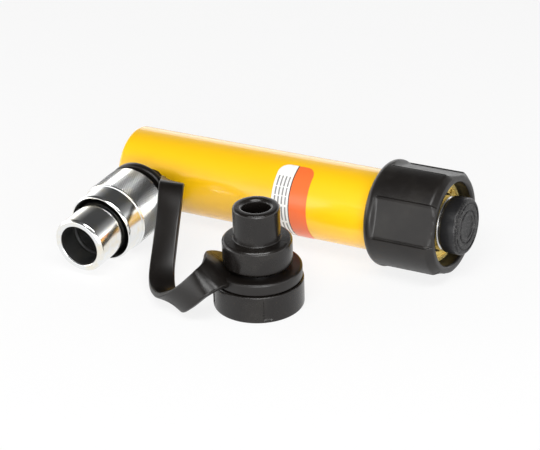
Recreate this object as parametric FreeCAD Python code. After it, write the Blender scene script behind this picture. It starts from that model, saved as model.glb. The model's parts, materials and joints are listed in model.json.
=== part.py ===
import FreeCAD, Part

import math
import os

# A small single acting hydraulic cylinder, lying on its side as it rests on a bench.
# Millimetres. X runs from the base of the cylinder to its saddle, Z is up, and the
# floor is at Z = 0. The cylinder lies on its base edge and on its thread protector,
# so its axis rises a little towards the saddle. The coupler leans down until its
# sleeve touches the floor, and the dust cap stands on the floor on its strap.

Vector = FreeCAD.Vector
X_AXIS = Vector(1, 0, 0)
Y_AXIS = Vector(0, 1, 0)
Z_AXIS = Vector(0, 0, 1)

# Clearances on the radius: a running fit, and a piece that is pressed or screwed in
slide_clearance = 0.05
seat_clearance = 0.1

# Cylinder body, whose bore and outside follow from the rod that runs in it
rod_diameter = 25.4
piston_step = 1.65
bore_wall = 4.7
body_length = 166.0
base_thickness = 28.0
base_rounding = 1.5
collar_length = 29.0
collar_groove_depth = 0.9
collar_groove_width = 2.5
mouth_chamfer = 0.8
mount_circle = 25.4
mount_hole_diameter = 6.35
mount_hole_depth = 14.0
port_height = 19.0
port_diameter = 17.1
port_floor_radius = 5.0
oil_way_diameter = 4.0
oil_way_offset = 9.0

# Stop ring in the mouth of the body, with the wiper that cleans the rod
stop_ring_wall = 4.0
stop_ring_length = 16.0
stop_ring_recess = 0.6
wiper_width = 3.2
wiper_depth = 1.9
wiper_lip = 1.2
spanner_hole_diameter = 2.6
spanner_hole_depth = 3.0
spanner_hole_count = 4

# Plunger: piston head and rod in one turned piece, hollow for the return spring
stroke = 76.0
piston_start = 29.0
piston_clearance = 0.1
plunger_end = 170.0
plunger_chamfer = 0.9
spring_room_diameter = 18.0
spring_room_end = 150.0
socket_diameter = 19.0
socket_depth = 13.0
seal_groove_start = 4.0
seal_width = 4.4
seal_depth = 2.6
backup_width = 1.6
bearing_groove_start = 16.0
bearing_width = 7.0
bearing_depth = 1.2
bearing_split = 1.2

# Return spring between a screwed stud in the base and a cross pin in the plunger
stud_diameter = 8.0
stud_depth = 9.0
stud_flange_diameter = 13.0
stud_flange_height = 2.5
stud_eye_height = 8.0
stud_eye_width = 4.5
stud_hole_diameter = 2.8
spring_diameter = 15.0
spring_wire = 2.0
spring_turns = 17
spring_start = 38.0
cross_pin_diameter = 2.6
cross_pin_margin = 4.0
coil_steps = 12
coil_sides = 6

# Saddle on the plunger, held by a snap ring round its stub
saddle_diameter = 25.4
saddle_height = 8.5
saddle_chamfer = 0.9
saddle_stub_diameter = 18.7
saddle_stub_length = 11.5
saddle_ring_depth = 0.9
saddle_ring_width = 1.4
saddle_ring_margin = 4.0
saddle_ring_split = 2.0
saddle_groove_depth = 0.5
saddle_grooves = ((10.6, 0.7), (7.6, 0.9))
saddle_centre_radius = 5.6

# Thread protector round the collar thread
protector_wall = 5.65
protector_start = 137.0
protector_length = 35.0
protector_rear_rounding = 3.5
protector_front_chamfer = 2.6
protector_bore_clearance = 0.3
protector_mouth_chamfer = 0.7
grip_count = 4
grip_centre_angle = 20.0
grip_width_angle = 45.0
grip_depth = 2.4
grip_start = 4.5

# Sticker round the body
sticker_start = 85.0
sticker_width = 18.0
sticker_low_angle = -61.0
sticker_high_angle = 72.0
sticker_thickness = 0.12

# Coupler: body, turning sleeve and check valve. Places are measured outwards from the
# cylinder's axis, lengths from one step of the coupler to the next.
nose_length = 18.0
coupler_radius = 13.3
coupler_end_chamfer = 1.0
coupler_stub_radius = 8.35
hex_across_flats = 22.0
hex_gap = 0.55
hex_height = 6.0
neck_radius = 9.6
neck_length = 4.6
shoulder_radius = 15.0
shoulder_thickness = 1.6
shoulder_gap = 0.3
socket_radius = 9.8
socket_length = 23.0
valve_bore_radius = 8.8
valve_bore_length = 5.0
valve_room_radius = 8.0
valve_room_length = 18.0
oil_hole_radius = 3.0
nose_seal_inset = 12.0
nose_seal_wire = 2.4
nose_seal_groove = 1.4

# Sleeve of the coupler
sleeve_length = 29.9
knurl_radius = 17.3
knurl_length = 18.0
sleeve_ridge = 0.8
smooth_radius = 16.6
sleeve_flange = 11.0
sleeve_thread_radius = 15.4
sleeve_rim_chamfer = 0.8
snap_ring_height = 1.3
snap_ring_thickness = 1.5
snap_ring_split = 3.0
snap_groove_depth = 0.6

# Check valve in the coupler
valve_seat_radius = 5.6
poppet_radius = 7.3
poppet_head = 2.4
poppet_nose_radius = 2.6
poppet_nose_length = 10.0
poppet_stem_radius = 2.2
valve_travel = 3.0
guide_thickness = 2.4
guide_hole_count = 3
guide_hole_radius = 1.5
guide_hole_circle = 4.9
valve_spring_radius = 6.6
valve_spring_wire = 1.1
valve_spring_turns = 5

# Dust cap, standing on its knob with its plug up, and the ring of the strap round it
cap_centre = (104.4, -61.6)
cap_radius = 20.6
cap_knob_height = 13.0
cap_knob_rounding = 1.2
cap_grip_count = 4
cap_grip_angle = -70.0
cap_grip_width = 26.0
cap_grip_depth = 0.5
cap_grip_margin = 1.6
cap_neck_radius = 12.2
cap_neck_height = 8.2
cap_boss_radius = 15.8
cap_boss_height = 11.4
cap_boss_chamfer = 1.0
cap_plug_radius = 10.6
cap_plug_height = 15.6
cap_plug_rounding = 1.2
cap_hole_radius = 6.2
cap_hole_depth = 17.0
cap_hole_chamfer = 0.8
cap_hollow_radius = 16.5
cap_hollow_depth = 8.0

# Strap: a flat moulded band with a ring at each end. Its route is chosen by hand: each
# line is a point of the band's middle in shares of the strap's reach, then the direction
# across the band there, then its width in shares of the strap's plain width.
strap_ring_clearance = 0.3
strap_reach = 100.0
strap_width = 11.8
strap_thickness = 2.8
strap_cap_ring_radius = 20.0
strap_cap_ring_height = 5.9
strap_cap_ring_gap = 0.15
strap_neck_ring_radius = 16.2
strap_neck_ring_gap = 0.5
strap_route = (
    ((0.305, -0.283, 0.242), (0.46, 0.00, -0.89), 1.00),
    ((0.356, -0.288, 0.272), (0.50, 0.05, -0.86), 1.00),
    ((0.408, -0.326, 0.316), (0.74, 0.42, -0.50), 1.00),
    ((0.456, -0.404, 0.346), (0.90, 0.44, -0.05), 1.00),
    ((0.500, -0.500, 0.266), (0.94, 0.25, 0.16), 1.00),
    ((0.539, -0.604, 0.154), (0.95, 0.24, 0.16), 1.00),
    ((0.576, -0.694, 0.072), (0.92, 0.36, 0.06), 1.00),
    ((0.630, -0.774, 0.039), (0.74, 0.62, -0.20), 1.00),
    ((0.706, -0.843, 0.042), (0.61, 0.66, -0.42), 1.00),
    ((0.783, -0.894, 0.070), (0.56, 0.16, -0.80), 1.00),
    ((0.852, -0.914, 0.126), (0.62, -0.20, -0.76), 1.02),
    ((0.913, -0.902, 0.188), (0.63, -0.42, -0.65), 1.08),
    ((0.935, -0.864, 0.207), (0.63, -0.53, -0.57), 1.15),
    ((0.943, -0.826, 0.211), (0.66, -0.58, -0.48), 1.28),
    ((0.941, -0.776, 0.204), (0.72, -0.60, -0.35), 1.60),
    ((0.934, -0.698, 0.186), (0.75, -0.64, -0.12), 2.05),
    ((0.938, -0.655, 0.170), (0.77, -0.64, 0.00), 1.70),
)

# What is worked out from the sizes above
rod_radius = rod_diameter / 2
bore_diameter = rod_diameter + 2 * piston_step
body_diameter = bore_diameter + 2 * bore_wall
body_radius = body_diameter / 2
stop_ring_diameter = rod_diameter + 2 * stop_ring_wall
protector_radius = body_radius + protector_bore_clearance + protector_wall
grip_face_radius = protector_radius - grip_depth
stop_ring_start = body_length - stop_ring_length
piston_top = stop_ring_start - stroke
saddle_face = plunger_end + saddle_height
protector_end = protector_start + protector_length
hex_start = body_radius + hex_gap
neck_start = hex_start + hex_height
shoulder_start = neck_start + neck_length
sleeve_start = shoulder_start + shoulder_thickness + shoulder_gap
snap_ring_start = sleeve_start + sleeve_flange
sleeve_end = sleeve_start + sleeve_length
coupler_end = sleeve_end + nose_length
socket_floor = coupler_end - socket_length
valve_bore_floor = socket_floor - valve_bore_length
valve_room_floor = valve_bore_floor - valve_room_length
nose_seal_place = coupler_end - nose_seal_inset


def resting_tilt():
    """Angle at which both the base edge and the protector's rear edge touch the floor."""
    run = protector_start + protector_rear_rounding - base_rounding
    rise = (protector_radius - protector_rear_rounding) - (body_radius - base_rounding)
    step = protector_rear_rounding - base_rounding
    return math.asin((step) / math.hypot(run, rise)) + math.atan2(rise, run)


tilt = resting_tilt()
base_height = (body_radius - base_rounding) * math.cos(tilt) + base_rounding * (1 - math.sin(tilt))
port_floor_height = base_height + port_height * math.sin(tilt)
coupler_droop = (math.asin(port_floor_height / math.hypot(sleeve_end - sleeve_rim_chamfer, smooth_radius))
                 - math.atan2(smooth_radius, sleeve_end - sleeve_rim_chamfer))

lying = FreeCAD.Placement(Vector(0, 0, base_height), FreeCAD.Rotation(Y_AXIS, -math.degrees(tilt)))
outwards = FreeCAD.Rotation(Z_AXIS, -90).multiply(FreeCAD.Rotation(Y_AXIS, math.degrees(coupler_droop)))
at_port = lying.multiply(FreeCAD.Placement(Vector(port_height, 0, 0), outwards))
at_cap = FreeCAD.Placement(Vector(cap_centre[0], cap_centre[1], 0), FreeCAD.Rotation())


def turned(outline, axis=X_AXIS):
    """Solid of revolution: outline is (along, radius) pairs, closed back to its start."""
    if axis == X_AXIS:
        points = [Vector(along, 0, radius) for along, radius in outline]
    else:
        points = [Vector(radius, 0, along) for along, radius in outline]
    face = Part.Face(Part.makePolygon(points + points[:1]))
    return face.revolve(Vector(0, 0, 0), axis, 360)


def rod(start, end, radius, axis=X_AXIS, place=Vector(0, 0, 0)):
    """Plain round bar along an axis, from one distance to another."""
    return Part.makeCylinder(radius, end - start, place + axis * start, axis)


def tube(start, end, outer, inner):
    """Round tube along X."""
    return turned([(start, inner), (end, inner), (end, outer), (start, outer)])


def ring_edges(shape, along, radius, axis=X_AXIS):
    """The round edges of a turned shape at one place along its axis."""
    found = []
    for edge in shape.Edges:
        curve = edge.Curve
        if not isinstance(curve, Part.Circle) or abs(abs(curve.Axis.dot(axis)) - 1) > 1e-6:
            continue
        if abs(curve.Center.dot(axis) - along) < 1e-4 and abs(curve.Radius - radius) < 1e-4:
            found.append(edge)
    return found


def around(shape, count, start_angle=0.0, axis=X_AXIS):
    """Copies of a shape set evenly about an axis."""
    copies = []
    for index in range(count):
        copy = shape.copy()
        copy.rotate(Vector(0, 0, 0), axis, start_angle + 360.0 * index / count)
        copies.append(copy)
    return copies


def cylinder_body():
    """Painted steel body, closed at the base, with the collar thread's land at the mouth."""
    collar_start = body_length - collar_length
    groove_end = collar_start + collar_groove_width
    collar_radius = body_radius - collar_groove_depth
    mouth_radius = stop_ring_diameter / 2
    body = turned([
        (0, 0), (0, body_radius), (collar_start, body_radius), (collar_start, collar_radius),
        (groove_end, collar_radius), (groove_end, body_radius),
        (body_length - mouth_chamfer, body_radius), (body_length, body_radius - mouth_chamfer),
        (body_length, mouth_radius), (stop_ring_start, mouth_radius),
        (stop_ring_start, bore_diameter / 2), (base_thickness, bore_diameter / 2), (base_thickness, 0)])
    body = body.makeFillet(base_rounding, ring_edges(body, 0, body_radius))
    port = rod(port_floor_radius, body_radius + 1, port_diameter / 2, outwards.multVec(X_AXIS),
               X_AXIS * port_height)
    oil_way = rod(port_height, base_thickness + 1, oil_way_diameter / 2, X_AXIS, Vector(0, -oil_way_offset, 0))
    stud_hole = rod(base_thickness - stud_depth, base_thickness + 1, stud_diameter / 2)
    mount_hole = rod(-1, mount_hole_depth, mount_hole_diameter / 2, X_AXIS, Vector(0, 0, mount_circle / 2))
    return body.cut([port, oil_way, stud_hole] + around(mount_hole, 2))


def stop_ring():
    """Threaded ring that ends the stroke and guides the rod, with spanner holes in its face."""
    end = body_length - stop_ring_recess
    outer = stop_ring_diameter / 2 - seat_clearance / 2
    inner = rod_radius + slide_clearance
    groove_start = end - wiper_lip - wiper_width
    ring = turned([
        (stop_ring_start, inner), (groove_start, inner), (groove_start, inner + wiper_depth),
        (end - wiper_lip, inner + wiper_depth), (end - wiper_lip, inner + wiper_depth / 2),
        (end, inner + wiper_depth / 2), (end, outer), (stop_ring_start, outer)])
    hole_circle = (inner + wiper_depth / 2 + outer) / 2
    hole = rod(end - spanner_hole_depth, end + 1, spanner_hole_diameter / 2, X_AXIS, Vector(0, 0, hole_circle))
    return ring.cut(around(hole, spanner_hole_count, 45))


def rod_wiper():
    """Soft ring in the stop ring's groove, with a lip round the rod."""
    end = body_length - stop_ring_recess - wiper_lip
    inner = rod_radius + slide_clearance
    return turned([
        (end - wiper_width, inner + wiper_depth / 2), (end - wiper_width / 2, inner), (end, inner),
        (end, inner + wiper_depth / 3), (end - wiper_lip / 2, inner + wiper_depth),
        (end - wiper_width, inner + wiper_depth)])


def groove(start, width, outer, depth):
    """Ring to cut a groove into a shaft."""
    return tube(start, start + width, outer + 1, outer - depth)


def plunger():
    """Piston head and hollow rod, turned in one piece."""
    head = bore_diameter / 2 - piston_clearance
    shaft = turned([
        (piston_start, spring_room_diameter / 2), (piston_start, head), (piston_top, head),
        (piston_top, rod_radius), (plunger_end - plunger_chamfer, rod_radius),
        (plunger_end, rod_radius - plunger_chamfer), (plunger_end, socket_diameter / 2),
        (plunger_end - socket_depth, socket_diameter / 2), (plunger_end - socket_depth, 0),
        (spring_room_end, 0), (spring_room_end, spring_room_diameter / 2)])
    cuts = [groove(piston_start + seal_groove_start, seal_width + backup_width, head, seal_depth),
            groove(piston_start + bearing_groove_start, bearing_width, head, bearing_depth)]
    pin_place = X_AXIS * (spring_room_end - cross_pin_margin)
    cuts.append(rod(-body_radius, body_radius, cross_pin_diameter / 2, Z_AXIS, pin_place))
    return shaft.cut(cuts)


def piston_seal():
    """Lip seal in the piston head, open towards the oil."""
    start = piston_start + seal_groove_start
    outer = bore_diameter / 2 - slide_clearance
    inner = bore_diameter / 2 - piston_clearance - seal_depth
    middle = (outer + inner) / 2
    lip = seal_width / 2
    return turned([
        (start + seal_width, inner), (start, inner), (start, inner + 0.7), (start + lip, middle),
        (start, outer - 0.7), (start, outer), (start + seal_width, outer)])


def backup_ring():
    """Hard ring that stops the seal from being pressed into the gap."""
    start = piston_start + seal_groove_start + seal_width
    outer = bore_diameter / 2 - slide_clearance
    return tube(start, start + backup_width, outer, bore_diameter / 2 - piston_clearance - seal_depth)


def piston_bearing():
    """Bronze guide band of the piston head, split so that it can be sprung on."""
    start = piston_start + bearing_groove_start
    outer = bore_diameter / 2 - slide_clearance
    band = tube(start, start + bearing_width, outer, bore_diameter / 2 - piston_clearance - bearing_depth)
    split = Part.makeBox(bearing_width, bearing_split, bore_diameter, Vector(start, -bearing_split / 2, 0))
    return band.cut(split)


def spring_stud():
    """Stud screwed into the floor of the bore, with an eye for the spring's hook."""
    top = base_thickness + stud_flange_height
    stud = rod(base_thickness - stud_depth, base_thickness, stud_diameter / 2 - seat_clearance)
    flange = rod(base_thickness, top, stud_flange_diameter / 2)
    eye = Part.makeBox(stud_eye_height, stud_eye_width, stud_eye_width * 2,
                       Vector(top, -stud_eye_width / 2, -stud_eye_width))
    hole_place = X_AXIS * (top + stud_eye_height - stud_hole_diameter)
    hole = rod(-bore_diameter, bore_diameter, stud_hole_diameter / 2, Y_AXIS, hole_place)
    return stud.fuse([flange, eye]).removeSplitter().cut(hole)


def coil(radius, turns, height, wire_radius):
    """Wire wound on a helix about X, starting at X = 0, in short straight lengths."""
    sections = []
    for step in range(turns * coil_steps + 1):
        angle = 2 * math.pi * step / coil_steps
        outward = Vector(0, math.cos(angle), math.sin(angle))
        middle = outward * radius + X_AXIS * (height * step / (turns * coil_steps))
        corners = []
        for side in range(coil_sides):
            turn = 2 * math.pi * (side + 0.5) / coil_sides
            corners.append(middle + outward * (wire_radius * math.cos(turn))
                           + X_AXIS * (wire_radius * math.sin(turn)))
        sections.append(Part.makePolygon(corners + corners[:1]))
    return Part.makeLoft(sections, True, True)


def return_spring():
    """Tension spring that pulls the plunger back in."""
    end = spring_room_end - cross_pin_margin - cross_pin_diameter / 2 - spring_wire
    height = end - spring_start
    spring = coil((spring_diameter - spring_wire) / 2, spring_turns, height, spring_wire / 2)
    spring.translate(X_AXIS * spring_start)
    return spring


def spring_cross_pin():
    """Pin through the plunger that holds the far end of the spring."""
    half = rod_radius - 1.0
    place = X_AXIS * (spring_room_end - cross_pin_margin)
    return rod(-half, half, cross_pin_diameter / 2 - slide_clearance, Z_AXIS, place)


def saddle():
    """Hardened pad on the plunger, with rings turned into its face."""
    stub_radius = saddle_stub_diameter / 2
    stub_start = plunger_end - saddle_stub_length
    pad = turned([
        (stub_start, 0), (stub_start, stub_radius), (plunger_end, stub_radius),
        (plunger_end, saddle_diameter / 2), (saddle_face - saddle_chamfer, saddle_diameter / 2),
        (saddle_face, saddle_diameter / 2 - saddle_chamfer), (saddle_face, 0)])
    ring_start = stub_start + saddle_ring_margin
    cuts = [groove(ring_start, saddle_ring_width, stub_radius, saddle_ring_depth)]
    for radius, width in saddle_grooves:
        cuts.append(tube(saddle_face - saddle_groove_depth, saddle_face + 1, radius + width / 2,
                         radius - width / 2))
    cuts.append(rod(saddle_face - saddle_groove_depth, saddle_face + 1, saddle_centre_radius))
    return pad.cut(cuts)


def saddle_ring():
    """Split wire ring in the stub's groove that holds the saddle in its socket."""
    start = plunger_end - saddle_stub_length + saddle_ring_margin
    outer = socket_diameter / 2 - slide_clearance
    ring = tube(start, start + saddle_ring_width, outer, saddle_stub_diameter / 2 - saddle_ring_depth)
    split = Part.makeBox(saddle_ring_width, saddle_ring_split, rod_diameter,
                         Vector(start, -saddle_ring_split / 2, 0))
    return ring.cut(split)


def grip_cut(start, length, face_radius, angle):
    """Block that leaves a flat as wide as an angle, at a distance from the axis."""
    half_width = protector_radius * math.sin(math.radians(grip_width_angle / 2))
    block = Part.makeBox(length, protector_radius, 2 * half_width, Vector(start, face_radius, -half_width))
    block.rotate(Vector(0, 0, 0), X_AXIS, angle)
    return block


def thread_protector():
    """Moulded collar over the mouth thread, with flats for the hand round its front."""
    bore = body_radius + protector_bore_clearance
    front = protector_end - protector_front_chamfer
    shell = turned([
        (protector_start, bore), (protector_start, protector_radius), (front, protector_radius),
        (protector_end, protector_radius - protector_front_chamfer),
        (protector_end, bore + protector_mouth_chamfer), (protector_end - protector_mouth_chamfer, bore)])
    shell = shell.makeFillet(protector_rear_rounding, ring_edges(shell, protector_start, protector_radius))
    length = protector_length - grip_start + 1
    first = 180.0 - grip_centre_angle
    flat = grip_cut(protector_start + grip_start, length, grip_face_radius, first)
    return shell.cut(around(flat, grip_count))


def sticker():
    """Thin printed label wrapped part of the way round the body."""
    skin = tube(sticker_start, sticker_start + sticker_width, body_radius + sticker_thickness, body_radius)
    reach = 2 * body_radius
    middle = math.radians((sticker_low_angle + sticker_high_angle) / 2)
    half = math.radians((sticker_high_angle - sticker_low_angle) / 2)
    spread = [Vector(0, 0, 0)]
    for share in (-1.0, -0.5, 0.0, 0.5, 1.0):
        angle = middle + share * half
        spread.append(Vector(0, -math.cos(angle), math.sin(angle)) * reach)
    wedge = Part.Face(Part.makePolygon(spread + spread[:1])).extrude(X_AXIS * body_length)
    return skin.common(wedge)


def coupler_body():
    """Body of the coupler in one turned piece: port stub, hexagon, neck, and the long nose."""
    nose_face = coupler_radius - coupler_end_chamfer
    body = turned([
        (port_floor_radius + 1, oil_hole_radius), (port_floor_radius + 1, coupler_stub_radius),
        (hex_start, coupler_stub_radius), (hex_start, neck_radius), (shoulder_start, neck_radius),
        (shoulder_start, shoulder_radius), (shoulder_start + shoulder_thickness, shoulder_radius),
        (shoulder_start + shoulder_thickness, coupler_radius),
        (coupler_end - coupler_end_chamfer, coupler_radius), (coupler_end, nose_face),
        (coupler_end, socket_radius), (socket_floor, socket_radius), (socket_floor, valve_bore_radius),
        (valve_bore_floor, valve_bore_radius), (valve_bore_floor, valve_room_radius),
        (valve_room_floor, valve_room_radius), (valve_room_floor, oil_hole_radius)])
    corner = hex_across_flats / math.sqrt(3)
    corners = [Vector(hex_start, corner * math.sin(math.radians(60 * step)),
                      corner * math.cos(math.radians(60 * step))) for step in range(6)]
    hexagon = Part.Face(Part.makePolygon(corners + corners[:1])).extrude(X_AXIS * hex_height)
    hexagon = hexagon.cut(rod(hex_start - 1, neck_start + 1, neck_radius - 1))
    body = body.fuse(hexagon).removeSplitter()
    cuts = [groove(snap_ring_start + shoulder_gap, snap_ring_height, coupler_radius, snap_groove_depth)]
    seal_half = nose_seal_wire / 2
    cuts.append(tube(nose_seal_place - seal_half, nose_seal_place + seal_half,
                     socket_radius + nose_seal_groove, socket_radius - 1))
    return body.cut(cuts)


def coupler_sleeve():
    """Sleeve that turns on the coupler's body, threaded inside its mouth."""
    bore = coupler_radius + slide_clearance
    knurl_end = sleeve_start + knurl_length
    flange_end = sleeve_start + sleeve_flange
    return turned([
        (sleeve_start, bore), (sleeve_start, knurl_radius - sleeve_ridge),
        (sleeve_start + sleeve_ridge, knurl_radius), (knurl_end, knurl_radius),
        (knurl_end + sleeve_ridge, knurl_radius - sleeve_ridge / 2), (knurl_end + sleeve_ridge, smooth_radius),
        (sleeve_end - sleeve_rim_chamfer, smooth_radius), (sleeve_end, smooth_radius - sleeve_rim_chamfer),
        (sleeve_end, sleeve_thread_radius), (flange_end, sleeve_thread_radius), (flange_end, bore)])


def coupler_snap_ring():
    """Split ring in a groove of the coupler's body that keeps the sleeve on."""
    start = snap_ring_start + shoulder_gap
    inner = coupler_radius - snap_groove_depth
    ring = tube(start, start + snap_ring_height, inner + snap_ring_thickness, inner)
    split = Part.makeBox(snap_ring_height, snap_ring_split, shoulder_radius * 2,
                         Vector(start, -snap_ring_split / 2, 0))
    return ring.cut(split)


def coupler_seal():
    """Round seal in the socket of the coupler."""
    ring_radius = socket_radius + nose_seal_groove - nose_seal_wire / 2
    seal = Part.makeTorus(ring_radius, nose_seal_wire / 2 - seat_clearance / 2, Vector(0, 0, 0), X_AXIS)
    seal.translate(X_AXIS * nose_seal_place)
    return seal


def valve_seat():
    """Ring pressed into the bottom of the socket, which the poppet closes against."""
    lip = valve_bore_floor + 1.0
    return turned([
        (valve_bore_floor, valve_seat_radius + 1.0), (lip, valve_seat_radius),
        (socket_floor, valve_seat_radius), (socket_floor, valve_bore_radius), (valve_bore_floor, valve_bore_radius)])


def valve_guide():
    """Disc with oil holes that guides the poppet's stem and carries its spring."""
    top = valve_room_floor + guide_thickness
    disc = tube(valve_room_floor, top, valve_room_radius - slide_clearance,
                poppet_stem_radius + slide_clearance)
    hole = rod(valve_room_floor - 1, top + 1, guide_hole_radius, X_AXIS, Vector(0, 0, guide_hole_circle))
    return disc.cut(around(hole, guide_hole_count))


def valve_poppet():
    """Poppet that the mating half pushes open: stem, head and nose."""
    face = valve_bore_floor
    head_back = face - poppet_head
    stem_end = valve_room_floor + valve_travel + 0.5
    return turned([
        (stem_end - valve_travel, 0), (stem_end - valve_travel, poppet_stem_radius),
        (head_back, poppet_stem_radius), (head_back, poppet_radius), (face - 0.8, poppet_radius),
        (face, valve_seat_radius + 0.8), (face, poppet_nose_radius),
        (face + poppet_nose_length - 0.6, poppet_nose_radius),
        (face + poppet_nose_length, poppet_nose_radius - 0.6), (face + poppet_nose_length, 0)])


def valve_spring():
    """Small compression spring behind the poppet."""
    start = valve_room_floor + guide_thickness + valve_spring_wire / 2
    height = valve_bore_floor - poppet_head - valve_spring_wire / 2 - start
    spring = coil(valve_spring_radius - valve_spring_wire / 2, valve_spring_turns, height,
                  valve_spring_wire / 2 - slide_clearance)
    spring.translate(X_AXIS * start)
    return spring


def dust_cap():
    """Moulded cap: a hollow knob, a neck for the strap's ring, a boss and a plug with a hole."""
    neck_top = cap_knob_height + cap_neck_height
    boss_top = neck_top + cap_boss_height
    plug_top = boss_top + cap_plug_height
    cap = turned([
        (0, 0), (0, cap_radius), (cap_knob_height, cap_radius), (cap_knob_height, cap_neck_radius),
        (neck_top, cap_neck_radius), (neck_top, cap_boss_radius), (boss_top - cap_boss_chamfer, cap_boss_radius),
        (boss_top, cap_boss_radius - cap_boss_chamfer), (boss_top, cap_plug_radius),
        (plug_top, cap_plug_radius), (plug_top, 0)], Z_AXIS)
    rounded = ring_edges(cap, cap_knob_height, cap_radius, Z_AXIS) + ring_edges(cap, 0, cap_radius, Z_AXIS)
    cap = cap.makeFillet(cap_knob_rounding, rounded)
    cap = cap.makeFillet(cap_plug_rounding, ring_edges(cap, plug_top, cap_plug_radius, Z_AXIS))
    hole = turned([
        (plug_top - cap_hole_depth, 0), (plug_top - cap_hole_depth, cap_hole_radius),
        (plug_top - cap_hole_chamfer, cap_hole_radius), (plug_top, cap_hole_radius + cap_hole_chamfer),
        (plug_top, 0)], Z_AXIS)
    hollow = rod(0, cap_hollow_depth, cap_hollow_radius, Z_AXIS)
    groove_height = cap_knob_height - 2 * cap_grip_margin
    band = Part.makeBox(2 * cap_radius, cap_radius, groove_height, Vector(cap_hollow_radius, 0, cap_grip_margin))
    ring = rod(0, cap_knob_height, cap_radius + 1, Z_AXIS).cut(
        rod(0, cap_knob_height, cap_radius - cap_grip_depth, Z_AXIS))
    half = math.degrees(math.asin(cap_grip_width / 2 / cap_radius))
    gap = band.copy()
    gap.rotate(Vector(0, 0, 0), Z_AXIS, half)
    other = band.copy()
    other.rotate(Vector(0, 0, 0), Z_AXIS, 90 - half)
    gap = ring.common(gap).cut(other)
    return cap.cut([hole, hollow] + around(gap, cap_grip_count, cap_grip_angle, Z_AXIS))


def band_section(before, middle, after, across, width):
    """Rectangle across the strap's band at one point of its route."""
    along = (after - before).normalize()
    face = along.cross(across).normalize()
    side = face.cross(along).normalize()
    half_width = side * (width / 2)
    half_thickness = face * (strap_thickness / 2)
    corners = [middle - half_width - half_thickness, middle + half_width - half_thickness,
               middle + half_width + half_thickness, middle - half_width + half_thickness]
    return Part.makePolygon(corners + corners[:1])


def cap_strap():
    """Band from the ring on the coupler's neck to the ring on the cap's neck."""
    places = [Vector(*place) * strap_reach for place, across, width in strap_route]
    sections = []
    for index, (place, across, width) in enumerate(strap_route):
        before = places[max(index - 1, 0)]
        after = places[min(index + 1, len(places) - 1)]
        sections.append(band_section(before, places[index], after, Vector(*across), width * strap_width))
    band = Part.makeLoft(sections, True, False)
    neck_ring = tube(neck_start + strap_neck_ring_gap, shoulder_start - strap_neck_ring_gap,
                     strap_neck_ring_radius, neck_radius + strap_ring_clearance)
    neck_ring.transformShape(at_port.toMatrix())
    cap_ring_start = cap_knob_height + strap_cap_ring_gap
    cap_ring_end = cap_ring_start + strap_cap_ring_height
    cap_ring = rod(cap_ring_start, cap_ring_end, strap_cap_ring_radius, Z_AXIS)
    cap_ring.transformShape(at_cap.toMatrix())
    cap_hole = rod(-1, cap_ring_end + cap_boss_height, cap_neck_radius + strap_ring_clearance, Z_AXIS)
    cap_hole.transformShape(at_cap.toMatrix())
    return band.fuse([neck_ring, cap_ring]).removeSplitter().cut(cap_hole)


def place_and_write(shape, name, placement):
    """Set a finished sub-part where it lies, and write its file."""
    placed = shape.copy()
    placed.transformShape(placement.toMatrix())
    placed.exportStep("parts/" + name + ".step")
    print(name, round(placed.Volume, 1), placed.isValid(), len(placed.Solids), len(placed.Faces))


cylinder_pieces = {
    "cylinder_body": cylinder_body,
    "stop_ring": stop_ring,
    "rod_wiper": rod_wiper,
    "spring_stud": spring_stud,
    "thread_protector": thread_protector,
    "sticker": sticker,
    "plunger": plunger,
    "piston_seal": piston_seal,
    "backup_ring": backup_ring,
    "piston_bearing": piston_bearing,
    "spring_cross_pin": spring_cross_pin,
    "return_spring": return_spring,
    "saddle": saddle,
    "saddle_ring": saddle_ring,
}

coupler_pieces = {
    "coupler_body": coupler_body,
    "coupler_sleeve": coupler_sleeve,
    "coupler_snap_ring": coupler_snap_ring,
    "coupler_seal": coupler_seal,
    "valve_seat": valve_seat,
    "valve_guide": valve_guide,
    "valve_poppet": valve_poppet,
    "valve_spring": valve_spring,
}

os.makedirs("parts", exist_ok=True)
for name, make in cylinder_pieces.items():
    place_and_write(make(), name, lying)
for name, make in coupler_pieces.items():
    place_and_write(make(), name, at_port)
place_and_write(dust_cap(), "dust_cap", at_cap)
place_and_write(cap_strap(), "cap_strap", FreeCAD.Placement())
print("tilt", math.degrees(tilt), "droop", math.degrees(coupler_droop), "base height", base_height)
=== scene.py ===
# %% [markdown]
# A small hydraulic cylinder lies on a table: a yellow body, a black thread protector,
# a bright quick coupler and a dust cap on its strap. The frame already holds every
# piece at its real size and place. These cells give each piece its look, one at a time.

# %% Load the frame
import json
import math

import bmesh
import bpy
from mathutils import Matrix, Vector
from mathutils.geometry import intersect_line_line


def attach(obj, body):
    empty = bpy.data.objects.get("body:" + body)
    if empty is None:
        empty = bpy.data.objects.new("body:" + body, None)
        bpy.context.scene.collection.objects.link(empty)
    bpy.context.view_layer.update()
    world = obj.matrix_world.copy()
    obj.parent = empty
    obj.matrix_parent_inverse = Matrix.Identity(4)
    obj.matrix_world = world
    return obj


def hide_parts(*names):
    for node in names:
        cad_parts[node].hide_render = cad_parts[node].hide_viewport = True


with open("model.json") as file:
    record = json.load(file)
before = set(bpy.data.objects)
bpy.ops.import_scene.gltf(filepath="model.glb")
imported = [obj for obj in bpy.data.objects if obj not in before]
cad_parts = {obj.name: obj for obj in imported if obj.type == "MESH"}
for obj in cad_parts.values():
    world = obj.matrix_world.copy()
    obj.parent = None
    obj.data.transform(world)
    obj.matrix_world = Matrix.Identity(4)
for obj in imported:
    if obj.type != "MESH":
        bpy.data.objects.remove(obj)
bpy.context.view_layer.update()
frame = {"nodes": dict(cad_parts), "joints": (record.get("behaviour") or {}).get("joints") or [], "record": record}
nodes = frame["nodes"]
MM = 0.001
NEARLY_ZERO = 0.01
print("the frame holds", len(nodes), "pieces")

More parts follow.
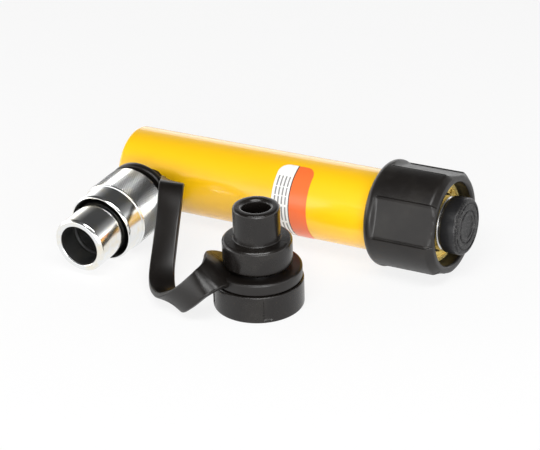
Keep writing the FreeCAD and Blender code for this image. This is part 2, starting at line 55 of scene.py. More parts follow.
# %% [markdown]
# Nearly everything here was turned on a lathe, so each piece is easy to describe along
# its own axis. The axes come from the frame's joints and mounts. A place is a matrix
# whose X runs along the axis and whose Z points as far up as it can.

# %% The three places that the pieces are measured from
joints = {joint["name"]: joint for joint in frame["joints"]}
mounts = {mount["name"]: mount for mount in frame["record"]["mounts"]}


def place_along(origin, direction):
    """Matrix that puts local X along a direction, with local Z as upright as it can be."""
    along = Vector(direction).normalized()
    up = Vector((0, 0, 1)) - along * along.z
    up = up.normalized() if up.length > NEARLY_ZERO else Vector((0, 1, 0))
    side = up.cross(along)
    turn = Matrix((along, side, up)).transposed().to_4x4()
    return Matrix.Translation(origin) @ turn


base_centre = Vector(mounts["base_face"]["pos_m"])
cylinder_axis = Vector(joints["plunger_stroke"]["axis"])
coupler_axis = Vector(joints["sleeve_turn"]["axis"])
coupler_point = Vector(joints["sleeve_turn"]["pos_m"])
port_point = intersect_line_line(base_centre, base_centre + cylinder_axis,
                                 coupler_point, coupler_point + coupler_axis)[0]
cap_point = Vector(joints["cap_turn"]["pos_m"])

cylinder_place = place_along(base_centre, cylinder_axis)
coupler_place = place_along(port_point, coupler_axis)
cap_place = place_along(Vector((cap_point.x, cap_point.y, 0)), (0, 0, 1))
print("the coupler's axis meets the cylinder", round((port_point - base_centre).length / MM, 1),
      "mm from its base")

# %% [markdown]
# The camera comes first, because everything is compared with the photograph through it.
# It looks down on the cylinder from the coupler's side with a long lens, a little rolled.

# %% Camera at the photograph's angle
CAMERA_PLACE = Vector((514.2, -728.6, 447.1)) * MM
CAMERA_AZIMUTH = math.radians(31.13)
CAMERA_ELEVATION = math.radians(27.57)
CAMERA_ROLL = math.radians(-1.8)
CAMERA_LENS = 133.1
CAMERA_SENSOR = 36.0
CAMERA_REACH = 20.0


def aim_camera():
    """Camera from its place, azimuth, elevation and roll."""
    looking = Vector((-math.sin(CAMERA_AZIMUTH) * math.cos(CAMERA_ELEVATION),
                      math.cos(CAMERA_AZIMUTH) * math.cos(CAMERA_ELEVATION),
                      -math.sin(CAMERA_ELEVATION)))
    level = Vector((math.cos(CAMERA_AZIMUTH), math.sin(CAMERA_AZIMUTH), 0))
    upright = level.cross(looking)
    right = level * math.cos(CAMERA_ROLL) + upright * math.sin(CAMERA_ROLL)
    up = upright * math.cos(CAMERA_ROLL) - level * math.sin(CAMERA_ROLL)
    data = bpy.data.cameras.new("camera")
    data.lens = CAMERA_LENS
    data.sensor_width = CAMERA_SENSOR
    data.clip_end = CAMERA_REACH
    camera = bpy.data.objects.new("camera", data)
    turn = Matrix((right, up, -looking)).transposed().to_4x4()
    camera.matrix_world = Matrix.Translation(CAMERA_PLACE) @ turn
    bpy.context.scene.collection.objects.link(camera)
    bpy.context.scene.camera = camera


aim_camera()

# %% [markdown]
# Shader maths reads best as plain arithmetic. An Amount wraps one output of a node, and
# each operator on it adds the Math node that does the sum. A Wiring is a tree of nodes: its
# node method adds any other node, settings first and then the values of its sockets. A
# Finish is the wiring of one material.


# %% Sums on sockets, and trees that grow their own nodes
class Amount:
    """One output of a node, on which Python's operators add Math nodes."""

    def __init__(self, wiring, socket):
        self.wiring = wiring
        self.socket = socket

    def sum(self, operation, first, second=0.0, clamp=False):
        settings = {"operation": operation, "use_clamp": clamp}
        return self.wiring.node("ShaderNodeMath", settings, {0: first, 1: second})

    def __add__(self, other):
        return self.sum("ADD", self, other)

    __radd__ = __add__

    def __sub__(self, other):
        return self.sum("SUBTRACT", self, other)

    def __rsub__(self, other):
        return self.sum("SUBTRACT", other, self)

    def __mul__(self, other):
        return self.sum("MULTIPLY", self, other)

    def __truediv__(self, other):
        return self.sum("DIVIDE", self, other)

    def __gt__(self, other):
        return self.sum("GREATER_THAN", self, other)

    def __lt__(self, other):
        return self.sum("LESS_THAN", self, other)

    def __mod__(self, other):
        return self.sum("FLOORED_MODULO", self, other)

    def size(self):
        return self.sum("ABSOLUTE", self)

    def root(self):
        return self.sum("SQRT", self)

    def angle(self, other):
        return self.sum("ARCTAN2", self, other)

    def held(self):
        """The same amount, kept between 0 and 1."""
        return self.sum("ADD", self, 0.0, clamp=True)

    def rise(self, low, high):
        """Smooth step from 0 at low to 1 at high."""
        settings = {"interpolation_type": "SMOOTHSTEP"}
        return self.wiring.node("ShaderNodeMapRange", settings, {0: self, 1: low, 2: high})

    def part(self, name):
        """Another output of the same node."""
        return Amount(self.wiring, self.socket.node.outputs[name])


class Wiring:
    """A tree of nodes, each added with its settings and its inputs by name."""

    def __init__(self, tree):
        self.tree = tree

    def node(self, kind, settings=None, inputs=None, output=0):
        """Add a node, set its settings and then its sockets, and return one output."""
        node = self.tree.nodes.new(kind)
        for name, value in (settings or {}).items():
            setattr(node, name, value)
        for name, value in (inputs or {}).items():
            self.feed(node.inputs[name], value)
        return Amount(self, node.outputs[output])

    def feed(self, socket, value):
        """Link an Amount to a socket, or set it to a value. A colour gets full opacity."""
        if isinstance(value, Amount):
            self.tree.links.new(value.socket, socket)
        elif socket.type == "RGBA":
            socket.default_value = (*value, 1.0)
        else:
            socket.default_value = value

    def hand_out(self, kind, value):
        """Link a value to the first socket of a new output node."""
        self.tree.links.new(value.socket, self.tree.nodes.new(kind).inputs[0])


# A Mix node has other sockets for each kind of data. These are the ones for colours.
MIX_SHARE, MIX_FIRST, MIX_SECOND, MIX_RESULT = 0, 6, 7, 2


class Finish(Wiring):
    """A material with a Principled shader."""

    def __init__(self, name, slot_name):
        self.material = bpy.data.materials.new(name)
        self.material.use_nodes = True
        super().__init__(self.material.node_tree)
        self.slot_name = slot_name
        self.shader = self.tree.nodes["Principled BSDF"]

    def set(self, **inputs):
        """Set the Principled shader's sockets, with _ for each space in a socket's name."""
        for name, value in inputs.items():
            self.feed(self.shader.inputs[name.replace("_", " ")], value)
        return self

    def spot(self, place=None):
        """Object coordinates, measured from a place if one is given."""
        spot = self.node("ShaderNodeTexCoord", None, None, "Object")
        if place is None:
            return spot
        inputs = {"Vector": spot, "Location": place.to_translation(),
                  "Rotation": place.to_euler(), "Scale": (1, 1, 1)}
        return self.node("ShaderNodeMapping", {"vector_type": "TEXTURE"}, inputs)

    def split(self, vector):
        """The three numbers of a vector."""
        first = self.node("ShaderNodeSeparateXYZ", None, {0: vector}, "X")
        return first, first.part("Y"), first.part("Z")

    def turned(self, spot):
        """Two distances of a spot: along the axis, and out from it."""
        along, side, up = self.split(spot)
        return along, (side * side + up * up).root()

    def noise(self, vector, scale, detail=3.0, roughness=0.55):
        """Fractal noise from 0 to 1."""
        inputs = {"Vector": vector, "Scale": scale, "Detail": detail, "Roughness": roughness}
        return self.node("ShaderNodeTexNoise", None, inputs, 0)

    def mix(self, share, first, second):
        """Mix two colours."""
        inputs = {MIX_SHARE: share, MIX_FIRST: first, MIX_SECOND: second}
        return self.node("ShaderNodeMix", {"data_type": "RGBA"}, inputs, MIX_RESULT)

    def bump(self, height, distance, strength=1.0, under=None):
        """Normal bent by a height, in metres when the height runs from 0 to 1."""
        inputs = {"Height": height, "Distance": distance, "Strength": strength}
        if under is not None:
            inputs["Normal"] = under
        return self.node("ShaderNodeBump", None, inputs)


print("shader helpers are ready")

# %% [markdown]
# The yellow enamel is a thick gloss paint over steel. Its colour is even, its clear skin
# has a faint orange peel, and near the mouth the paint stops: the collar under the
# protector keeps its golden plating and its fine thread. One material covers the whole
# body, and the distance along the axis says where the paint ends.

# %% Yellow enamel with a plated collar
YELLOW = (0.97, 0.545, 0.001)
YELLOW_SHADE = 0.965
PLATED_GOLD = (0.90, 0.70, 0.24)
ENAMEL_COAT = 0.8
PAINT_END = 137.6 * MM
BORE_START = 2.0 * MM
BORE_RADIUS = 15.0 * MM
THREAD_PITCH = 1.6 * MM
THREAD_RADIUS = 18.0 * MM
THREAD_DEPTH = 0.5 * MM


def make_yellow_enamel():
    """Paint on the outside, plated thread on the collar and inside the bore."""
    finish = Finish("yellow_enamel", "yellow_paint")
    spot = finish.spot(cylinder_place)
    along, radius = finish.turned(spot)
    bare = ((along > PAINT_END) + (radius < BORE_RADIUS) * (along > BORE_START)).held()
    cloud = finish.noise(spot, scale=35.0)
    tone = finish.mix(cloud, [part * YELLOW_SHADE for part in YELLOW], YELLOW)
    colour = finish.mix(bare, tone, PLATED_GOLD)
    scuff = finish.noise(spot, scale=420.0, detail=4.0, roughness=0.7).rise(0.55, 0.8)
    thread = (along % THREAD_PITCH - THREAD_PITCH / 2).size() * (2 / THREAD_PITCH)
    threaded = bare * (radius > THREAD_RADIUS)
    peel = finish.bump(finish.noise(spot, scale=900.0, detail=1.0), 0.02 * MM, strength=0.35)
    normal = finish.bump(thread * threaded, THREAD_DEPTH, strength=0.9, under=peel)
    return finish.set(Base_Color=colour, Metallic=bare * 0.5, Normal=normal,
                      Roughness=0.36 + scuff * 0.05 + cloud * 0.03 - bare * 0.12,
                      Coat_Weight=ENAMEL_COAT - bare * ENAMEL_COAT, Coat_Roughness=0.16)


# %% [markdown]
# The protector and the cap are moulded in a black plastic with a soft shine. A real
# moulding is never quite even: the skin has a fine grain, some patches are duller from
# handling, and some patches are greyer with dust. Two finishes share one recipe, with other numbers.

# %% Moulded black plastics
MOULDED_BLACK = (0.0070, 0.0057, 0.0050)
DUST_GREY = (0.016, 0.014, 0.012)


def make_moulded_black(name, slot_name, place, roughness, grain_depth):
    """Black moulding with grain, handling marks and a trace of dust."""
    finish = Finish(name, slot_name)
    spot = finish.spot(place)
    patches = finish.noise(spot, scale=60.0, detail=4.0)
    handled = finish.noise(spot, scale=260.0, detail=5.0, roughness=0.7).rise(0.45, 0.75)
    grain = finish.noise(spot, scale=3800.0, detail=2.0)
    colour = finish.mix(patches.rise(0.45, 0.8), MOULDED_BLACK, DUST_GREY)
    flow = finish.bump(patches, 0.12 * MM, strength=0.3)
    return finish.set(Base_Color=colour, Specular_IOR_Level=0.42,
                      Roughness=roughness + handled * 0.10 + patches * 0.06,
                      Normal=finish.bump(grain, grain_depth, strength=0.6, under=flow))


# %% [markdown]
# Bright zinc plating is a mirror with a slight haze. What tells it from chrome is the
# turned surface below: rings from the lathe tool, about a tenth of a millimetre wide, run
# round the piece, and the plating has cloudy patches. The pits of the knurl, the sleeve's
# mouth, the part under the sleeve and the socket get painted shade: dark and rougher.

# %% Plated and turned metals
ZINC_TONES = ((0.86, 0.87, 0.87), (0.88, 0.83, 0.70))
STEEL_TONES = ((0.66, 0.66, 0.66), (0.60, 0.59, 0.57))
VALVE_TONES = ((0.55, 0.55, 0.55), (0.48, 0.47, 0.45))
BRONZE_TONES = (PLATED_GOLD, (0.85, 0.72, 0.45))
WIRE_TONES = ((0.30, 0.30, 0.31), (0.24, 0.24, 0.25))
PLATED_RINGS = 0.012 * MM
TURNED_RINGS = 0.01 * MM
# Dark grey painted where shade falls: in the sleeve's mouth, in the knurl's pits, under the sleeve and in the
# socket.
PAINTED_SHADE_GREY = (0.035, 0.036, 0.036)
SLEEVE_MOUTH = 15.6 * MM
PIT_DEPTHS = (16.95 * MM, 17.26 * MM)
KNURL_REACH = (33.5 * MM, 50.1 * MM)
SOCKET_WALL = 10.0 * MM
# The socket gets a lighter share of the painted shade.
SOCKET_SHADE = 0.8
UNDER_SLEEVE = 61.5 * MM


def sleeve_painted_shade(along, radius):
    """Painted shade inside the sleeve's mouth and in the pits of its knurl."""
    knurled = (along > KNURL_REACH[0]) * (along < KNURL_REACH[1])
    pits = (1.0 - radius.rise(*PIT_DEPTHS)) * knurled
    return ((radius < SLEEVE_MOUTH) + pits).held()


def body_painted_shade(along, radius):
    """Painted shade on the part under the sleeve, and lighter painted shade in the socket."""
    under_sleeve = (radius > SOCKET_WALL) * (along < UNDER_SLEEVE)
    return ((radius < SOCKET_WALL) * SOCKET_SHADE + under_sleeve).held()


def make_turned_metal(name, slot_name, place, tones, roughness, ring_depth, shade_mask=None):
    """Metal turned on a lathe: tool rings, cloudy plating, and painted shade, also rougher, where shade_mask says.
    """
    finish = Finish(name, slot_name)
    spot = finish.spot(place)
    along, radius = finish.turned(spot)
    rings_spot = finish.node("ShaderNodeCombineXYZ", None, {"X": along, "Y": radius})
    rings = finish.noise(rings_spot, scale=5200.0, detail=3.0, roughness=0.6)
    cloud = finish.noise(spot, scale=130.0, detail=4.0)
    tone = finish.mix(cloud.rise(0.45, 0.75), *tones)
    haze = finish.noise(spot, scale=700.0, detail=4.0, roughness=0.65).rise(0.5, 0.8)
    # Share of painted shade, which also makes the metal rougher there.
    shade_share = shade_mask(along, radius) if shade_mask else 0.0
    return finish.set(Base_Color=finish.mix(shade_share, tone, PAINTED_SHADE_GREY), Metallic=1.0,
                      Roughness=roughness + cloud * 0.06 + haze * 0.08 + rings * 0.05 + shade_share * 0.3,
                      Normal=finish.bump(rings, ring_depth, strength=0.5))


# %% [markdown]
# The saddle is hardened steel with a black oxide skin. Its face is rough from the forge
# and rubbed grey where it has met a load, so its colour follows the same noise that
# bends its surface.

# %% Black oxide steel
OXIDE_BLACK = (0.010, 0.010, 0.011)
RUBBED_GREY = (0.16, 0.155, 0.15)
RUB_START = 176.8 * MM
RUB_DEPTH = 1.2 * MM


def make_black_oxide():
    """Dark steel with a grainy, rubbed face."""
    finish = Finish("black_oxide", "dark_steel")
    spot = finish.spot(cylinder_place)
    along = finish.split(spot)[0]
    face = along.rise(RUB_START, RUB_START + RUB_DEPTH)
    grit = finish.noise(spot, scale=1500.0, detail=5.0, roughness=0.75)
    rubbed = grit.rise(0.48, 0.66) * (0.03 + face * 0.65)
    colour = finish.mix(rubbed, OXIDE_BLACK, RUBBED_GREY)
    return finish.set(Base_Color=colour, Metallic=face * 0.6,
                      Roughness=0.26 + grit * 0.15 + face * 0.15,
                      Normal=finish.bump(grit, 0.12 * MM, strength=0.25))


# %% [markdown]
# The strap is a soft moulding. It is a little more matt than the cap, its skin swells and
# sinks very slightly, and handling has left small paler marks on it.

# %% Soft strap, rubber and hard plastic
STRAP_BLACK = (0.0060, 0.0046, 0.0038)
STRAP_WORN = (0.017, 0.014, 0.012)
SEAL_BLACK = (0.012, 0.012, 0.012)
IVORY = (0.72, 0.70, 0.62)
MOTTLE_SHADE = 0.8


def make_soft_strap():
    """Flexible black moulding with faint marks."""
    finish = Finish("strap_moulding", "soft_strap")
    spot = finish.spot()
    patches = finish.noise(spot, scale=90.0, detail=4.0)
    marks = finish.noise(spot, scale=900.0, detail=4.0, roughness=0.7)
    colour = finish.mix(marks.rise(0.5, 0.8) * patches, STRAP_BLACK, STRAP_WORN)
    soft = finish.bump(patches, 0.15 * MM, strength=0.3)
    return finish.set(Base_Color=colour, Specular_IOR_Level=0.45,
                      Roughness=0.25 + marks * 0.10 + patches * 0.06,
                      Normal=finish.bump(marks, 0.02 * MM, strength=0.5, under=soft))


def make_plain(name, slot_name, colour, roughness):
    """A quiet finish for small pieces deep inside: one colour with a fine mottle."""
    finish = Finish(name, slot_name)
    mottle = finish.noise(finish.spot(), scale=800.0)
    tone = finish.mix(mottle, [part * MOTTLE_SHADE for part in colour], colour)
    return finish.set(Base_Color=tone, Roughness=roughness + mottle * 0.1,
                      Normal=finish.bump(mottle, 0.01 * MM, strength=0.4))


# %% [markdown]
# The label is printed film: a pale field and an orange field, with a thin dark line
# between them. Nothing is written on it. The pale field has a few plain bars, as wide
# as lines of print, which the shader draws from the distance along the axis and the
# angle round the body.

# %% Two tone printed film
FILM_WHITE = (0.86, 0.85, 0.83)
FILM_ORANGE = (0.86, 0.155, 0.035)
FILM_INK = (0.03, 0.028, 0.028)
FIELD_LINE = 95.8 * MM
FIELD_LINE_WIDTH = 0.5 * MM
BAR_PITCH = 1.9 * MM
BAR_WIDTH = 0.75 * MM
BARS_START = 88.0 * MM
BARS_END = 94.4 * MM
BAR_TURN = 0.9
BAR_BREAKS = 9.0
BAR_SHARE = 0.62
BAR_INK = 0.75


def make_printed_film():
    """Pale and orange fields with a dark line, and plain bars on the pale one."""
    finish = Finish("printed_film", "two_tone_print")
    spot = finish.spot(cylinder_place)
    along, side, up = finish.split(spot)
    turn = up.angle(side * -1.0)
    fields = finish.mix(along > FIELD_LINE, FILM_WHITE, FILM_ORANGE)
    line = (along - FIELD_LINE).size() < FIELD_LINE_WIDTH / 2
    column = (along - BARS_START) % BAR_PITCH < BAR_WIDTH
    inside = (along > BARS_START) * (along < BARS_END)
    long_run = turn.size() < BAR_TURN
    run = finish.node("ShaderNodeCombineXYZ", None, {"X": turn * BAR_BREAKS})
    printed = finish.noise(run, scale=1.0, detail=0.0) < BAR_SHARE
    bars = column * inside * long_run * printed
    colour = finish.mix((line + bars * BAR_INK).held(), fields, FILM_INK)
    print_grain = finish.noise(spot, scale=2500.0, detail=2.0)
    return finish.set(Base_Color=colour, Roughness=0.26 + print_grain * 0.08,
                      Coat_Weight=0.3, Coat_Roughness=0.1,
                      Normal=finish.bump(print_grain, 0.008 * MM, strength=0.4))


# %% [markdown]
# Each recipe is now used with its own numbers. The zinc of the sleeve and that of the
# coupler's body differ in where shade is painted.

# %% All the finishes
yellow_enamel = make_yellow_enamel()
protector_black = make_moulded_black("protector_moulding", "black_moulding", cylinder_place,
                                     roughness=0.32, grain_depth=0.03 * MM)
cap_black = make_moulded_black("cap_moulding", "black_moulding", cap_place,
                               roughness=0.20, grain_depth=0.004 * MM)
sleeve_zinc = make_turned_metal("sleeve_zinc", "bright_zinc", coupler_place, ZINC_TONES,
                                0.12, PLATED_RINGS, sleeve_painted_shade)
body_zinc = make_turned_metal("body_zinc", "bright_zinc", coupler_place, ZINC_TONES,
                              0.10, PLATED_RINGS, body_painted_shade)
ground_steel = make_turned_metal("ground_steel", "turned_steel", cylinder_place, STEEL_TONES,
                                 0.16, TURNED_RINGS)
valve_steel = make_turned_metal("valve_steel", "turned_steel", coupler_place, VALVE_TONES,
                                0.22, TURNED_RINGS)
bronze = make_turned_metal("bronze_band", "bronze", cylinder_place, BRONZE_TONES,
                           0.22, TURNED_RINGS)
ring_gold = make_plain("plated_ring", "bronze", (0.86, 0.62, 0.16), 0.22)
spring_wire = make_turned_metal("spring_wire", "spring_steel", cylinder_place, WIRE_TONES,
                                0.3, TURNED_RINGS)
black_oxide = make_black_oxide()
strap_black = make_soft_strap()
seal_black = make_plain("seal_rubber", "black_rubber", SEAL_BLACK, 0.5)
ring_ivory = make_plain("hard_ring", "hard_white_plastic", IVORY, 0.4)
printed_film = make_printed_film()
print("finishes:", len(bpy.data.materials))

# %% [markdown]
# The body, the plunger, the stop ring and the pieces inside keep their shapes from the
# frame, so they only need a finish.

# %% Finishes on the frame's own pieces
KEPT_PIECES = {
    "cylinder_body": yellow_enamel,
    "stop_ring": ring_gold,
    "rod_wiper": seal_black,
    "spring_stud": ground_steel,
    "return_spring": spring_wire,
    "plunger": ground_steel,
    "piston_seal": seal_black,
    "backup_ring": ring_ivory,
    "piston_bearing": bronze,
    "spring_cross_pin": spring_wire,
    "saddle_ring": spring_wire,
    "coupler_snap_ring": spring_wire,
    "coupler_seal": seal_black,
    "valve_seat": valve_steel,
    "valve_guide": valve_steel,
    "valve_poppet": valve_steel,
    "valve_spring": spring_wire,
}


def dress(piece, finish):
    """Give a piece one finish on all its slots."""
    piece.data.materials.clear()
    piece.data.materials.append(finish.material)


for node_name, finish in KEPT_PIECES.items():
    dress(nodes[node_name], finish)

# %% [markdown]
# A lathe turns an outline round an axis. Each corner of an outline here has its own
# rounding, because no real edge is perfectly sharp, and that thin rounded edge is what
# catches the light. Where the outline meets the axis, its ring shrinks to one point.

# %% A lathe for turned pieces
SLICES = 192
ARC_STEPS = 4
SHARP_ANGLE = math.radians(38)
MOST_OF_HALF = 0.45


def softened(outline):
    """Outline corners (along, radius, rounding) in millimetres, with rounded corners."""
    points = []
    count = len(outline)
    for index, (along, radius, rounding) in enumerate(outline):
        corner = Vector((along, radius))
        before = Vector(outline[index - 1][:2]) - corner
        after = Vector(outline[(index + 1) % count][:2]) - corner
        reach = min(rounding, before.length * MOST_OF_HALF, after.length * MOST_OF_HALF)
        if reach < NEARLY_ZERO:
            points.append(corner)
            continue
        start = corner + before.normalized() * reach
        end = corner + after.normalized() * reach
        for step in range(ARC_STEPS + 1):
            share = step / ARC_STEPS
            rest = 1 - share
            points.append(start * rest ** 2 + corner * (2 * share * rest) + end * share ** 2)
    return points


def lathe(name, outline, place, shape_radius=None, slices=SLICES):
    """A closed outline turned round local X. shape_radius may change a radius by angle."""
    mesh = bmesh.new()
    rings = []
    for along, radius in softened(outline):
        if radius < NEARLY_ZERO:
            rings.append([mesh.verts.new(place @ (Vector((along, 0, 0)) * MM))])
            continue
        ring = []
        for index in range(slices):
            angle = 2 * math.pi * index / slices
            reach = shape_radius(along, radius, angle) if shape_radius else radius
            ring.append(mesh.verts.new(place @ (Vector((along, reach * math.cos(angle),
                                                        reach * math.sin(angle))) * MM)))
        rings.append(ring)
    for ring, following in zip(rings, rings[1:] + rings[:1]):
        if len(ring) == 1 and len(following) == 1:
            continue
        for index in range(slices):
            step = (index + 1) % slices
            corners = [ring[index % len(ring)], ring[step % len(ring)],
                       following[step % len(following)], following[index % len(following)]]
            mesh.faces.new(list(dict.fromkeys(corners)))
    bmesh.ops.recalc_face_normals(mesh, faces=mesh.faces)
    return finished_object(name, mesh)


def finished_object(name, mesh):
    """Object from a bmesh, smooth shaded with sharp edges by angle, at the origin."""
    data = bpy.data.meshes.new(name)
    mesh.to_mesh(data)
    mesh.free()
    data.shade_smooth()
    data.set_sharp_from_angle(angle=SHARP_ANGLE)
    piece = bpy.data.objects.new(name, data)
    bpy.context.scene.collection.objects.link(piece)
    return piece


def nearest_turn(angle, centre, count):
    """Angle from the nearest of a number of equal places round the axis."""
    pitch = 2 * math.pi / count
    return (angle - centre + pitch / 2) % pitch - pitch / 2


def smooth_step(low, high, value):
    """Smooth rise from 0 at low to 1 at high."""
    share = min(max((value - low) / (high - low), 0.0), 1.0)
    return share * share * (3 - 2 * share)


def settle(piece, finish, body, *replaced):
    """Dress a new piece, let it ride on its body and stand for the frame's piece."""
    dress(piece, finish)
    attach(piece, body)
    if replaced:
        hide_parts(*replaced)
    print(piece.name, "has", len(piece.data.polygons), "faces")


# %% [markdown]
# The thread protector is a collar with four flats for the hand. Behind the flats its
# edge is fully round, and at the front a wide bevel leads to the mouth. The flats are
# cut by limiting the radius: over part of each quarter turn, the wall can be no further
# out than the flat. A fine groove runs beside each edge of a flat.

# %% Thread protector
PROTECTOR_START = 137.0
PROTECTOR_END = 172.0
PROTECTOR_RADIUS = 25.0
PROTECTOR_BORE = 19.35
PROTECTOR_SLICES = 720
REAR_ROUNDING = 3.5
REAR_STEPS = 12
RAMP_STEP = 0.4
RAMP_STEPS = 7
BEVEL_LENGTH = 2.7
BEVEL_RADIUS = 22.3
FLAT_COUNT = 4
FLAT_RAMP = (141.0, 143.3)
FLAT_RADIUS = 22.6
FLAT_HALF_ANGLE = math.radians(22.5)
FLAT_CENTRE = math.radians(160.0)
FLAT_EDGE = math.radians(1.6)
GROOVE_DEPTH = 0.45


def protector_wall(along, radius, angle):
    """Radius of the protector's wall where the flats cut it."""
    if radius <= FLAT_RADIUS:
        return radius
    turn = nearest_turn(angle, FLAT_CENTRE, FLAT_COUNT)
    flat = FLAT_RADIUS / math.cos(turn)
    cut = 1 - smooth_step(FLAT_HALF_ANGLE - FLAT_EDGE, FLAT_HALF_ANGLE, abs(turn))
    forward = smooth_step(*FLAT_RAMP, along)
    beside = abs(abs(turn) - FLAT_HALF_ANGLE - FLAT_EDGE / 2)
    groove = 1 - smooth_step(0, FLAT_EDGE / 2, beside)
    return radius - max(radius - flat, 0.0) * cut * forward - GROOVE_DEPTH * groove * forward


def make_protector():
    """Collar outline, with points along its wall where the flats start."""
    outline = [(PROTECTOR_START, PROTECTOR_BORE, 0.4)]
    for step in range(REAR_STEPS + 1):
        turn = math.pi / 2 * step / REAR_STEPS
        outline.append((PROTECTOR_START + REAR_ROUNDING * (1 - math.cos(turn)),
                        PROTECTOR_RADIUS - REAR_ROUNDING * (1 - math.sin(turn)), 0))
    for step in range(1, RAMP_STEPS + 1):
        outline.append((PROTECTOR_START + REAR_ROUNDING + step * RAMP_STEP, PROTECTOR_RADIUS, 0))
    outline += [(PROTECTOR_END - BEVEL_LENGTH, PROTECTOR_RADIUS, 1.0),
                (PROTECTOR_END, BEVEL_RADIUS, 0.8), (PROTECTOR_END, PROTECTOR_BORE + 0.6, 0.6),
                (PROTECTOR_END - 1.0, PROTECTOR_BORE, 0.3)]
    return lathe("thread_protector_moulding", outline, cylinder_place, protector_wall,
                 PROTECTOR_SLICES)


settle(make_protector(), protector_black, "cylinder", "thread_protector")

# %% [markdown]
# The saddle's face has two turned grooves round a rough centre. They are part of the
# outline, so they catch the light as real grooves do.

# %% Saddle
STUB_START = 158.5
STUB_RADIUS = 9.35
STUB_GROOVE = (162.5, 163.9)
STUB_GROOVE_RADIUS = 8.45
SADDLE_START = 170.0
SADDLE_FACE = 178.5
SADDLE_RADIUS = 13.2
OUTER_GROOVE = SADDLE_FACE - 0.5
INNER_GROOVE = SADDLE_FACE - 0.55
ROUGH_CENTRE = SADDLE_FACE - 0.45
SADDLE_OUTLINE = (
    (STUB_START, 0.0, 0), (STUB_START, STUB_RADIUS, 0.3), (STUB_GROOVE[0], STUB_RADIUS, 0),
    (STUB_GROOVE[0], STUB_GROOVE_RADIUS, 0), (STUB_GROOVE[1], STUB_GROOVE_RADIUS, 0),
    (STUB_GROOVE[1], STUB_RADIUS, 0), (SADDLE_START, STUB_RADIUS, 0),
    (SADDLE_START, SADDLE_RADIUS, 1.2), (SADDLE_FACE - 1.0, SADDLE_RADIUS, 0.5),
    (SADDLE_FACE - 0.1, 12.3, 0.5), (SADDLE_FACE, 11.5, 0.3),
    (OUTER_GROOVE, 11.2, 0.2), (OUTER_GROOVE, 10.7, 0.2), (SADDLE_FACE, 10.4, 0.3),
    (SADDLE_FACE, 8.1, 0.3), (INNER_GROOVE, 7.8, 0.2), (INNER_GROOVE, 7.3, 0.2),
    (SADDLE_FACE, 7.0, 0.3), (SADDLE_FACE, 5.8, 0.3), (ROUGH_CENTRE, 5.4, 0.3),
    (ROUGH_CENTRE, 0.0, 0))

settle(lathe("saddle_pad", SADDLE_OUTLINE, cylinder_place), black_oxide, "saddle", "saddle")

# %% [markdown]
# The label is a thin film that follows the body. It is a grid of points, some along the
# axis and some round it, whose ends are drawn in by a quarter circle so that its corners
# are round. A film thickness is then added outwards.

# %% Label film
LABEL_START = 86.6
LABEL_WIDTH = 18.6
LABEL_ANGLES = (-61.0, 72.0)
LABEL_CORNER = 5.0
LABEL_RADIUS = 19.05
LABEL_FILM = 0.12
LABEL_ACROSS = 24
LABEL_AROUND = 96
LABEL_CORNER_STEPS = 12


def make_label():
    """Curved film with round corners."""
    mesh = bmesh.new()
    low, high = (math.radians(angle) for angle in LABEL_ANGLES)
    length = (high - low) * LABEL_RADIUS
    corner_share = []
    for step in range(LABEL_CORNER_STEPS + 1):
        turn = math.pi / 2 * step / LABEL_CORNER_STEPS
        corner_share.append(LABEL_CORNER * (1 - math.cos(turn)) / length)
    straight = 1 - 2 * corner_share[-1]
    middle_share = [corner_share[-1] + straight * step / LABEL_AROUND
                    for step in range(1, LABEL_AROUND)]
    shares = corner_share + middle_share + [1 - share for share in reversed(corner_share)]
    rows = []
    for share in shares:
        end_distance = min(share, 1 - share) * length
        inside = max(LABEL_CORNER - end_distance, 0.0)
        inset = LABEL_CORNER - math.sqrt(max(LABEL_CORNER ** 2 - inside ** 2, 0.0))
        angle = low + (high - low) * share
        row = []
        for step in range(LABEL_ACROSS + 1):
            along = LABEL_START + inset + (LABEL_WIDTH - 2 * inset) * step / LABEL_ACROSS
            spot = Vector((along, -LABEL_RADIUS * math.cos(angle), LABEL_RADIUS * math.sin(angle)))
            row.append(mesh.verts.new(cylinder_place @ (spot * MM)))
        rows.append(row)
    for row, following in zip(rows, rows[1:]):
        for step in range(LABEL_ACROSS):
            mesh.faces.new((row[step], row[step + 1], following[step + 1], following[step]))
    mesh.normal_update()
    walls = bmesh.ops.solidify(mesh, geom=mesh.faces[:], thickness=-LABEL_FILM * MM)
    bmesh.ops.recalc_face_normals(mesh, faces=mesh.faces)
    print("label film walls:", len(walls["geom"]))
    return finished_object("label_film", mesh)


settle(make_label(), printed_film, "cylinder", "sticker")

# %% [markdown]
# The coupler's body is one long turned piece: a hexagon for the spanner, a neck for the
# strap's ring, a shoulder, and the nose with its socket. The hexagon is a six sided prism
# with its corners turned off, and it joins the turned outline inside the neck.

